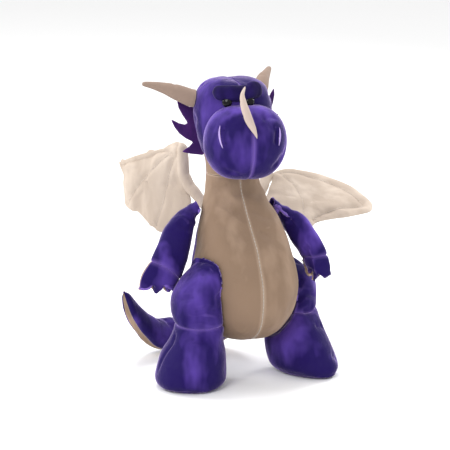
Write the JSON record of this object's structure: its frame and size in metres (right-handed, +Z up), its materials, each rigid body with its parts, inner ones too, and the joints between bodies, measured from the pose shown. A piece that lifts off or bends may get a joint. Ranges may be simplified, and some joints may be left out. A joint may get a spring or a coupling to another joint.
{
  "type": "stuffed dragon toy",
  "caption": "Standing stuffed dragon with a big round muzzle, horns, cheek frills, hanging arms, thick legs, wings and a curled tail, jointed at its sewn seams.",
  "frame": {"origin": "on the floor, under the middle of the whole toy's bounding box", "axes": "+Z up; the toy faces -Y, and its left side is +X"},
  "size_m": [0.3748, 0.36, 0.4198],
  "materials": {
    "purple_velvet": "short-pile plush, soft sheen",
    "polyester_fibre": "loose fibre stuffing",
    "beige_velvet": "short-pile plush",
    "plum_felt": "felt",
    "black_plastic": "polished",
    "white_plastic": "moulded",
    "cream_velvet": "short-pile plush",
    "pellet_bag_cloth": "woven cotton"
  },
  "bodies": {
    "torso": {"back_left": "purple_velvet", "back_right": "purple_velvet", "belly_left": "beige_velvet", "belly_right": "beige_velvet", "pellet_bag": "pellet_bag_cloth", "seat_patch": "purple_velvet", "torso_stuffing": "polyester_fibre"},
    "head": {"brow_roll": "purple_velvet", "cheek_frill_left": "plum_felt", "cheek_frill_right": "plum_felt", "eye_left": "black_plastic", "eye_right": "black_plastic", "eye_washer_left": "white_plastic", "eye_washer_right": "white_plastic", "head_crest": "plum_felt", "head_side_left": "purple_velvet", "head_side_right": "purple_velvet", "head_stuffing": "polyester_fibre", "horn_left": "cream_velvet", "horn_right": "cream_velvet", "muzzle_left": "purple_velvet", "muzzle_right": "purple_velvet", "muzzle_stuffing": "polyester_fibre", "nose_horn": "cream_velvet"},
    "arm_left": {"arm_sleeve_left": "purple_velvet", "arm_stuffing_left": "polyester_fibre", "palm_left": "beige_velvet", "paw_back_left": "purple_velvet"},
    "arm_right": {"arm_sleeve_right": "purple_velvet", "arm_stuffing_right": "polyester_fibre", "palm_right": "beige_velvet", "paw_back_right": "purple_velvet"},
    "leg_left": {"foot_upper_left": "purple_velvet", "leg_stuffing_left": "polyester_fibre", "sole_left": "purple_velvet", "thigh_left": "purple_velvet"},
    "leg_right": {"foot_upper_right": "purple_velvet", "leg_stuffing_right": "polyester_fibre", "sole_right": "purple_velvet", "thigh_right": "purple_velvet"},
    "wing_left": {"wing_arm_left": "cream_velvet", "wing_back_left": "cream_velvet", "wing_batting_left": "polyester_fibre", "wing_front_left": "cream_velvet"},
    "wing_right": {"wing_arm_right": "cream_velvet", "wing_back_right": "cream_velvet", "wing_batting_right": "polyester_fibre", "wing_front_right": "cream_velvet"},
    "tail": {"tail_stuffing": "polyester_fibre", "tail_top": "purple_velvet", "tail_underside": "beige_velvet"}
  },
  "joints": [
    {"name": "head_turn", "type": "hinge", "parent": "torso", "child": "head", "pos_m": [-0.03371, -0.04363, 0.2835], "axis": [0, 0, 1], "range_deg": [-25, 25]},
    {"name": "arm_left_swing", "type": "hinge", "parent": "torso", "child": "arm_left", "pos_m": [0.01871, -0.04441, 0.23892], "axis": [-0.9227, -0.1114, -0.369], "range_deg": [-2, 45]},
    {"name": "arm_right_swing", "type": "hinge", "parent": "torso", "child": "arm_right", "pos_m": [-0.08142, -0.0444, 0.23869], "axis": [-0.9537, 0.1152, 0.2778], "range_deg": [-3, 45]},
    {"name": "leg_left_swing", "type": "hinge", "parent": "torso", "child": "leg_left", "pos_m": [0.04239, -0.07405, 0.12], "axis": [-0.9958, -0.0913, 0], "range_deg": [-12, 12]},
    {"name": "leg_right_swing", "type": "hinge", "parent": "torso", "child": "leg_right", "pos_m": [-0.09184, -0.12112, 0.12], "axis": [-0.9072, -0.4206, 0], "range_deg": [-12, 12]},
    {"name": "wing_left_sweep", "type": "hinge", "parent": "torso", "child": "wing_left", "pos_m": [-0.00171, 0.01337, 0.222], "axis": [0, 0, 1], "range_deg": [0, 40]},
    {"name": "wing_right_sweep", "type": "hinge", "parent": "torso", "child": "wing_right", "pos_m": [-0.05571, 0.01337, 0.222], "axis": [0, 0, -1], "range_deg": [-15, 35]},
    {"name": "tail_sway", "type": "hinge", "parent": "torso", "child": "tail", "pos_m": [-0.02871, -0.01506, 0.07364], "axis": [0, 0, 1], "range_deg": [-20, 20]}
  ]
}
